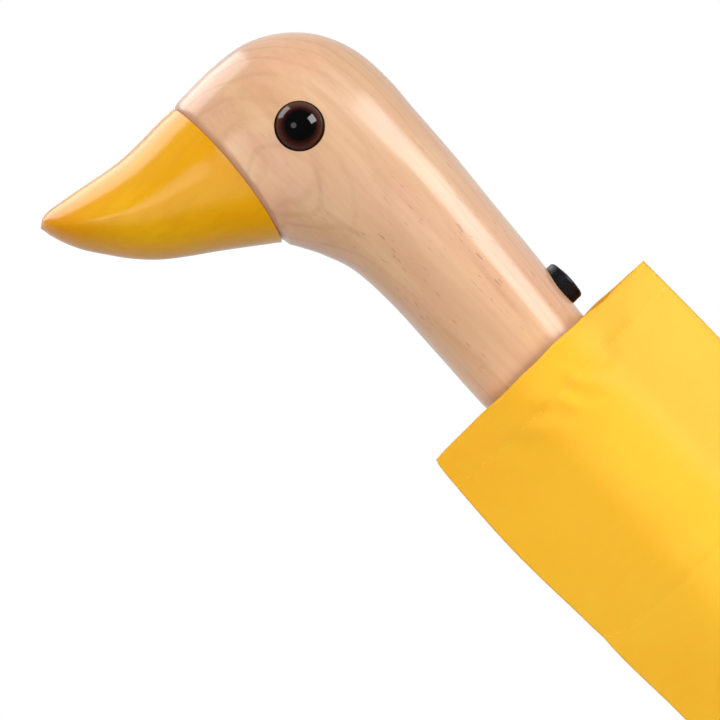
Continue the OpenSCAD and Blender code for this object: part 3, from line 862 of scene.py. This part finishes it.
def tie():
    """The tie strap: a doubled strip with turned edges and an overlapping end under its stud."""
    low, high = corners("tie_strap")
    radius = high.x - 0.62 * MM
    half = (high.z - low.z) / 2
    middle = (high.z + low.z) / 2
    across = [(-1.0, -0.25), (-1.0, 0.15), (-0.96, 0.34), (-0.86, 0.38), (-0.80, 0.26), (-0.5, 0.3),
              (0.0, 0.32), (0.5, 0.3), (0.80, 0.26), (0.86, 0.38), (0.96, 0.34), (1.0, 0.15), (1.0, -0.25),
              (0.5, -0.3), (0.0, -0.3), (-0.5, -0.3)]
    steps = 150
    points, flat = [], []
    for k in range(steps + 1):
        t = k / steps
        a = STRAP_TURN * t - math.radians(22)
        lift = 0.32 * MM * min(1, max(0, (t - 0.9) / 0.06))
        taper = 1 - 0.45 * max(0, (t - 0.975) / 0.025) ** 2
        for side, out in across:
            r = radius - 0.25 * MM + lift + out * 0.55 * MM
            points.append((r * math.cos(a), r * math.sin(a), middle + half * 0.97 * side * taper))
            flat.append((radius * a, side * half, 0))
    strap = make_mesh("tie_strap_cloth", points, capped_faces(steps + 1, len(across)), CANOPY_CLOTH,
                      "crown_group")
    mark(strap, "cloth", flat)
    sharpen(strap, 45)
    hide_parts("tie_strap")
    return strap


def stud():
    """A pressed snap stud: rolled edge, dished ring and a crowned middle."""
    low, high = corners("strap_stud")
    radius = (high.z - low.z) / 2
    t = high.x - low.x
    profile = [(radius * 0.9, 0.0), (radius, t * 0.3), (radius * 0.98, t * 0.62), (radius * 0.9, t * 0.8),
               (radius * 0.78, t * 0.72), (radius * 0.66, t * 0.5), (radius * 0.55, t * 0.55),
               (radius * 0.42, t * 0.85), (radius * 0.25, t * 0.97), (radius * 0.08, t)]
    place = (low.x, 0, (low.z + high.z) / 2)
    snap = lathe("snap_stud", profile, place, (1, 0, 0), STEEL, "crown_group")
    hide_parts("strap_stud")
    return snap


# ---- open canopy

OPEN_TRAVEL = joints["open"]["range_m"][1]
RIBBON = 1.4 * MM            # half width that a folded gore keeps at rest
PANEL_ACROSS = 44
PANEL_ALONG = 26
GORE_T = 0.16 * MM           # half of a panel's thickness
ALONG = {"upper": np.array([0, 0, 1.0]), "lower": np.array([0, 0, -1.0])}    # from apex to fold, at rest
CROWN_HOLE = 9.0 * MM
EDGE_SCALLOP = 17 * MM       # how far the rim draws in between two ribs
SEAM_LAP = 0.004             # radians that a panel runs past its ribs, so that neighbours meet
RIDGE_RISE = 2.3 * MM        # the cloth stands this far off the rib's fold
RIDGE_REACH = 9 * MM


def opening(joint):
    """How far a joint moves when only the canopy is opened."""
    if joint["name"] == "open":
        return OPEN_TRAVEL
    coupling = couplings.get(joint["name"])
    return coupling["ratio"] * OPEN_TRAVEL if coupling and coupling["follows"] == "open" else 0.0


def opened(body):
    """Where a body goes when only the canopy is opened."""
    joint = joint_above.get(body)
    if joint is None:
        return Matrix.Identity(4)
    axis = Vector(joint["axis"])
    if joint["type"] == "slide":
        step = Matrix.Translation(axis * opening(joint))
    else:
        place = Matrix.Translation(Vector(joint["pos_m"]))
        step = place @ Matrix.Rotation(opening(joint), 4, axis) @ place.inverted()
    return opened(joint["parent"]) @ step


def turned(points, place, axis, angles):
    """Points turned about a line, each by its own angle."""
    axis, local = unit(axis), points - place
    c, s = np.cos(angles)[:, None], np.sin(angles)[:, None]
    along = (local @ axis)[:, None] * axis
    return place + local * c + np.cross(axis, local) * s + along * (1 - c)


def moved(points, matrix):
    """Points carried by a 4 by 4 matrix."""
    m = np.array(matrix)
    return points @ m[:3, :3].T + m[:3, 3]


def fold_away(points, joint, out):
    place = np.array(joint["pos_m"])
    rest = moved(points, opened(joint["parent"]).inverted())

    def folded(t):
        return turned(rest, place, joint["axis"], -opening(joint) * t * t * (3 - 2 * t))

    low, high = np.zeros(len(points)), np.ones(len(points))
    for _ in range(48):
        t = (low + high) / 2
        reached = ((folded(t) - place) @ out) / (2 * RIBBON) + 0.5
        low = np.where(reached > t, t, low)
        high = np.where(reached > t, high, t)
    return folded((low + high) / 2)


def rib_ridge(i):
    """At rib i when open: the fold's place and the direction straight out of the cloth there."""
    fold = joints[f"rib_{i}_fold"]
    hinge = joints[f"rib_{i}_hinge"]
    e = unit(np.array(hinge["pos_m"]) * (1, 1, 0))
    main, outer = np.array(opened(f"main_rib_{i}")), np.array(opened(f"outer_rib_{i}"))
    place = moved(np.array([fold["pos_m"]]), main)[0]
    return place, unit(main[:3, :3] @ e - outer[:3, :3] @ e)


def panel_limits(i, which, apex_z, chord, bow):
    """Where a panel starts and ends, measured from its apex, and how far it sags at each."""
    fold_reach = abs(joints[f"rib_{i}_fold"]["pos_m"][2] - apex_z)
    if which == "upper":
        return np.full_like(chord, CROWN_HOLE), fold_reach * chord, (0.4 * MM, 3.2 * MM)
    tip_reach = abs(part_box(f"rib_tip_{i}")[0][2] - apex_z) - 0.5 * MM
    return fold_reach * chord, tip_reach * chord - EDGE_SCALLOP * bow ** 0.9, (3.2 * MM, 5.0 * MM)


def open_panel(i, which):
    """One open panel's points, from rib i to the next in two layers, and their places on the flat cloth."""
    joint = joints[f"gore_{which}_{i}_spread"]
    twin = joints[f"gore_{'lower' if which == 'upper' else 'upper'}_{i}_spread"]
    parent = opened(joint["parent"])
    angle = opening(joint)
    apex = moved(np.array(joint["pos_m"])[None], parent)[0]
    turn = np.array(parent)[:3, :3]
    normal, ray = turn @ unit(joint["axis"]), turn @ ALONG[which]
    side = np.cross(normal, ray)
    twin_normal = np.array(opened(twin["parent"]))[:3, :3] @ unit(twin["axis"])
    inward = unit(normal + twin_normal)
    psi = np.linspace(-SEAM_LAP, angle + SEAM_LAP, PANEL_ACROSS)
    chord = math.cos(angle / 2) / np.cos(psi - angle / 2)
    bow = np.clip(1 - (2 * psi / angle - 1) ** 2, 0, 1)
    start, end, sag = panel_limits(i, which, joint["pos_m"][2], chord, bow)
    layers, flat = [], []
    for offset in (GORE_T, -GORE_T):
        for v in np.linspace(0, 1, PANEL_ALONG):
            reach = start + (end - start) * v
            row = apex + reach[:, None] * (np.cos(psi)[:, None] * ray + np.sin(psi)[:, None] * side)
            depth = (sag[0] + (sag[1] - sag[0]) * v) * bow
            row = row + (depth[:, None] - offset) * inward
            for place, out in (rib_ridge(i), rib_ridge(i % 6 + 1)):
                near = hump(np.linalg.norm(row - place, axis=1), RIDGE_REACH)
                row = row + (RIDGE_RISE * near)[:, None] * out
            layers.append(row)
            flat.append(np.stack([reach * (psi - angle / 2), reach, 0 * psi], axis=1))
    return np.concatenate(layers), np.concatenate(flat)


def doubled_faces(across, rows):
    """Faces of a panel's two layers, and of the four edges that join them."""
    second = across * rows
    faces = ring_faces(rows, across, False) + ring_faces(rows, across, False, second)
    for k in range(rows - 1):
        for a in (k * across, k * across + across - 1):
            faces.append((a, a + across, a + across + second, a + second))
    for k in range(across - 1):
        for a in (k, (rows - 1) * across + k):
            faces.append((a, a + 1, a + 1 + second, a + second))
    return faces


def gore(i, which):
    """One panel of the canopy, folded away at rest."""
    joint = joints[f"gore_{which}_{i}_spread"]
    target, flat = open_panel(i, which)
    # made in its open shape, because the folded one is too thin to tell its sides apart
    panel = make_mesh(f"gore_{which}_cloth_{i}", target, doubled_faces(PANEL_ACROSS, PANEL_ALONG),
                      CANOPY_CLOTH, None)
    out = np.cross(unit(joint["axis"]), ALONG[which])
    for vertex, place in zip(panel.data.vertices, fold_away(target, joint, out)):
        vertex.co = place
    panel.data.update()
    mark(panel, "cloth", flat)
    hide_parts(f"gore_{which}_{i}")
    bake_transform(panel)


# ---- frame's own nodes

def finish_cad_nodes():
    """Every CAD node that stays gets a finished material."""
    finishes = {"shaft_steel": STEEL, "black_metal": ENAMEL, "black_plastic": BLACK_PLASTIC, "maple": MAPLE,
                "iris": IRIS}
    for part in frame["record"]["subparts"]:
        node = nodes[part["node"]]
        finish = finishes.get(part["material_slot"])
        if finish is None or node.hide_render:
            continue
        for slot in node.material_slots:
            slot.material = finish


# ---- studio

VIEW_MIDDLE = Vector((-30.4, 0, 19.75)) * MM
VIEW_WIDTH = 172.8 * MM
VIEW_ROLL = math.radians(43.7)
VIEW_YAW = math.radians(-4.0)
VIEW_RISE = math.radians(0.5)
VIEW_DISTANCE = 1.3
FRONT_LIGHT = 0.04           # the room's light from the camera's side, which keeps the eye's pupil dark
ROOM_LIGHT = 0.76            # the room's light from behind the object
LOW_SHARE = 0.8              # how much of it comes from below
FLOOR_GLOW = 0.8
FLOOR_HEIGHT = -0.86         # below everything in every pose


def lamp(name, kind, place, watts, aim=(0, 0, 0), seen=True, **settings):
    """A light aimed at a point; when it isn't seen, it lights without a reflection of itself."""
    light = bpy.data.lights.new(name, kind)
    light.energy = watts
    for key, value in settings.items():
        setattr(light, key, value)
    made = bpy.data.objects.new(name, light)
    bpy.context.scene.collection.objects.link(made)
    made.location = place
    made.rotation_euler = (Vector(place) - Vector(aim)).to_track_quat("Z", "Y").to_euler()
    made.visible_glossy = seen


def soft_box(name, toward, distance, size, watts, seen=True, shape="RECTANGLE"):
    """A flat soft light, at a distance from the origin and aimed at it."""
    lamp(name, "AREA", Vector(toward).normalized() * distance, watts, seen=seen, shape=shape, size=size[0],
         size_y=size[1])


def room():
    """White behind the object; the light that the object gets from the room is dimmer in front and below."""
    s = Shader("white studio", "worlds", "Background", Color=(1, 1, 1, 1))
    split = s.node("SeparateXYZ", {"Vector": s.node("TexCoord").outputs["Generated"]})
    behind = s.span(split.outputs["Y"], -0.25, 0.8, FRONT_LIGHT, ROOM_LIGHT, "SMOOTHSTEP")
    above = s.span(split.outputs["Z"], -0.7, 0.3, LOW_SHARE, 1.0, "SMOOTHSTEP")
    from_camera = s.node("LightPath").outputs["Is Camera Ray"]
    s.into("Strength", s.span(from_camera, 0.0, 1.0, s.math("MULTIPLY", behind, above)))
    bpy.context.scene.world = s.made


def light_up():
    """Boxes that show in the eye and the lacquer, fills that don't, and a spot on the sleeve."""
    soft_box("side box", (0.86, -0.48, -0.12), 0.9, (0.50, 0.42), 2.8)
    soft_box("top box", (-0.05, 0.32, 0.94), 0.95, (0.62, 0.90), 4.3)
    soft_box("front dish", (-0.242, -0.898, 0.369), 1.2, (0.46, 0.46), 0.52, shape="DISK")
    soft_box("side fill", (0.9, -0.35, 0.1), 1.2, (1.0, 1.0), 7.5, seen=False)
    soft_box("front fill", (-0.32, -0.94, 0.0), 1.3, (1.2, 1.2), 15.6, seen=False)
    soft_box("sky fill", (-0.1, -0.3, 0.95), 1.2, (1.2, 1.2), 4.5, seen=False)
    soft_box("back box", (-0.2, 0.85, 0.3), 0.95, (0.7, 0.7), 4.0, seen=False)
    lamp("sleeve spot", "SPOT", (-0.16, -0.78, -0.14), 4.2, aim=(0, 0, -0.10), seen=False,
         spot_size=math.radians(20), spot_blend=0.5, shadow_soft_size=0.05)


def lay_floor():
    """A pale floor that only the camera sees."""
    paper = Shader("studio floor", Roughness=0.9)
    tone = paper.noise(paper.place(), 3.0, 2.0)
    paper.into("Base Color", paper.mix(tone, (0.93, 0.93, 0.93), (0.95, 0.95, 0.95)))
    paper.into("Emission Color", (1, 1, 1, 1))
    paper.into("Emission Strength", FLOOR_GLOW)
    bpy.ops.mesh.primitive_circle_add(vertices=96, radius=5, fill_type="NGON", location=(0, 0, FLOOR_HEIGHT))
    floor = bpy.context.object
    floor.name = "studio_floor"
    floor.data.materials.append(paper.made)
    floor.visible_glossy = False
    floor.visible_diffuse = False


def set_camera():
    """A long lens in front of the object, rolled so that the shaft runs to the lower right."""
    camera_data = bpy.data.cameras.new("camera")
    camera_data.sensor_width = 36
    camera_data.lens = 36 * VIEW_DISTANCE / VIEW_WIDTH
    camera_data.clip_end = 60
    camera = bpy.data.objects.new("camera", camera_data)
    bpy.context.scene.collection.objects.link(camera)
    toward = Vector((math.sin(VIEW_YAW) * math.cos(VIEW_RISE), -math.cos(VIEW_YAW) * math.cos(VIEW_RISE),
                     math.sin(VIEW_RISE)))
    level = toward.to_track_quat("Z", "Y").to_matrix().to_4x4()
    camera.matrix_world = (Matrix.Translation(VIEW_MIDDLE + toward * VIEW_DISTANCE) @ level
                           @ Matrix.Rotation(-VIEW_ROLL, 4, "Z"))
    bpy.context.scene.camera = camera


# ---- build

carve_head()
carve_bill()
set_eyes()
fit_button()
sleeve_cloth = sew_sleeve()
stitches = stitch_rows()
wrapped = wrap_canopy()
strap = tie()
snap_stud = stud()
for which in ("upper", "lower"):
    for i in RIBS:
        gore(i, which)
finish_cad_nodes()

# the sleeve, its stitches, the wrapped cloth, the strap, its stud and the button's spring each get a mesh of
# their own
for piece in (sleeve_cloth, stitches):
    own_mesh(piece)
for piece in (wrapped, strap, snap_stud):
    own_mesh(piece)
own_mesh(nodes["button_spring"])

bpy.context.scene.view_settings.view_transform = "Standard"
room()
light_up()
lay_floor()
set_camera()
